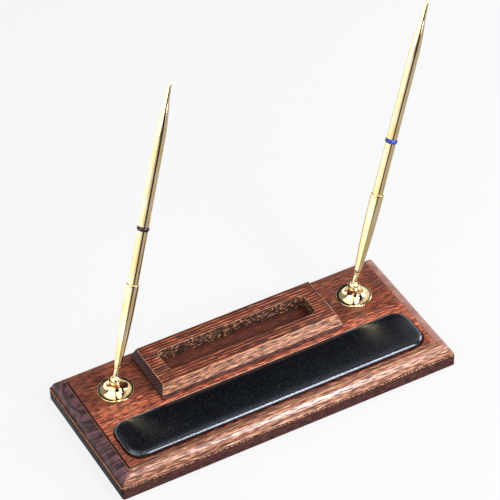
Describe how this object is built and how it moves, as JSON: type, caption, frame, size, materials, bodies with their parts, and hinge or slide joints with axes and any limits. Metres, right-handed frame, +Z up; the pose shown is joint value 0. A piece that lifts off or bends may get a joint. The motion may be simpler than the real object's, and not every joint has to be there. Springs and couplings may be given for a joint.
{
  "type": "pen and phone holder",
  "caption": "Wooden desk stand with a slotted block that props up a phone, a leather pad let into its top, and slim metal pens in funnels on ball swivels.",
  "frame": {"origin": "middle of the felt underside that rests on the desk", "axes": "+X to the right along the board, +Y towards the back, +Z up"},
  "size_m": [0.3018, 0.1342, 0.2102],
  "materials": {
    "base_wood": "stained and varnished, open grain",
    "block_wood": "stained and varnished, open grain",
    "felt": "pressed felt",
    "backing": "plain board",
    "foam": "soft foam",
    "leather": "smooth, semi-gloss",
    "gold_metal": "polished, plated",
    "plain_steel": "zinc plated",
    "white_plastic": "smooth",
    "liner_plastic": "smooth",
    "refill": "smooth",
    "black_ring": "lacquered",
    "blue_ring": "lacquered"
  },
  "bodies": {
    "stand": {"base_board": "base_wood", "felt_sheet": "felt", "phone_block": "block_wood", "block_screws": "plain_steel", "pad_board": "backing", "pad_filling": "foam", "pad_cover": "leather", "left_escutcheon": "gold_metal", "left_spring_washers": "plain_steel", "left_stud": "plain_steel", "left_washer": "plain_steel", "left_nut": "plain_steel", "right_escutcheon": "gold_metal", "right_spring_washers": "plain_steel", "right_stud": "plain_steel", "right_washer": "plain_steel", "right_nut": "plain_steel"},
    "left_swivel": {"left_seat_cup": "white_plastic"},
    "left_holder": {"left_ball_stem": "gold_metal", "left_funnel": "gold_metal", "left_funnel_liner": "liner_plastic"},
    "left_pen": {"left_pen_nose": "gold_metal", "left_pen_refill": "refill", "left_pen_barrel": "gold_metal", "left_pen_ring": "black_ring", "left_pen_tail": "gold_metal", "left_pen_finial": "gold_metal"},
    "right_swivel": {"right_seat_cup": "white_plastic"},
    "right_holder": {"right_ball_stem": "gold_metal", "right_funnel": "gold_metal", "right_funnel_liner": "liner_plastic"},
    "right_pen": {"right_pen_nose": "gold_metal", "right_pen_refill": "refill", "right_pen_barrel": "gold_metal", "right_pen_ring": "blue_ring", "right_pen_tail": "gold_metal", "right_pen_finial": "gold_metal"}
  },
  "joints": [
    {"name": "left_turn", "type": "hinge", "parent": "stand", "child": "left_swivel", "pos_m": [-0.0916, 0.022, 0.0282], "axis": [0, 0, 1], "continuous": true},
    {"name": "left_tilt", "type": "hinge", "parent": "left_swivel", "child": "left_holder", "pos_m": [-0.0916, 0.022, 0.0282], "axis": [-0.5736, 0.8192, 0], "range_deg": [-64.5, 7.5]},
    {"name": "left_pen_pull", "type": "slide", "parent": "left_holder", "child": "left_pen", "axis": [0.3909, 0.2737, 0.8788], "range_m": [0, 0.06]},
    {"name": "right_turn", "type": "hinge", "parent": "stand", "child": "right_swivel", "pos_m": [0.0916, 0.022, 0.0282], "axis": [0, 0, 1], "continuous": true},
    {"name": "right_tilt", "type": "hinge", "parent": "right_swivel", "child": "right_holder", "pos_m": [0.0916, 0.022, 0.0282], "axis": [-0.4695, 0.8829, 0], "range_deg": [-63.5, 8.5]},
    {"name": "right_pen_pull", "type": "slide", "parent": "right_holder", "child": "right_pen", "axis": [0.4077, 0.2168, 0.887], "range_m": [0, 0.06]}
  ]
}
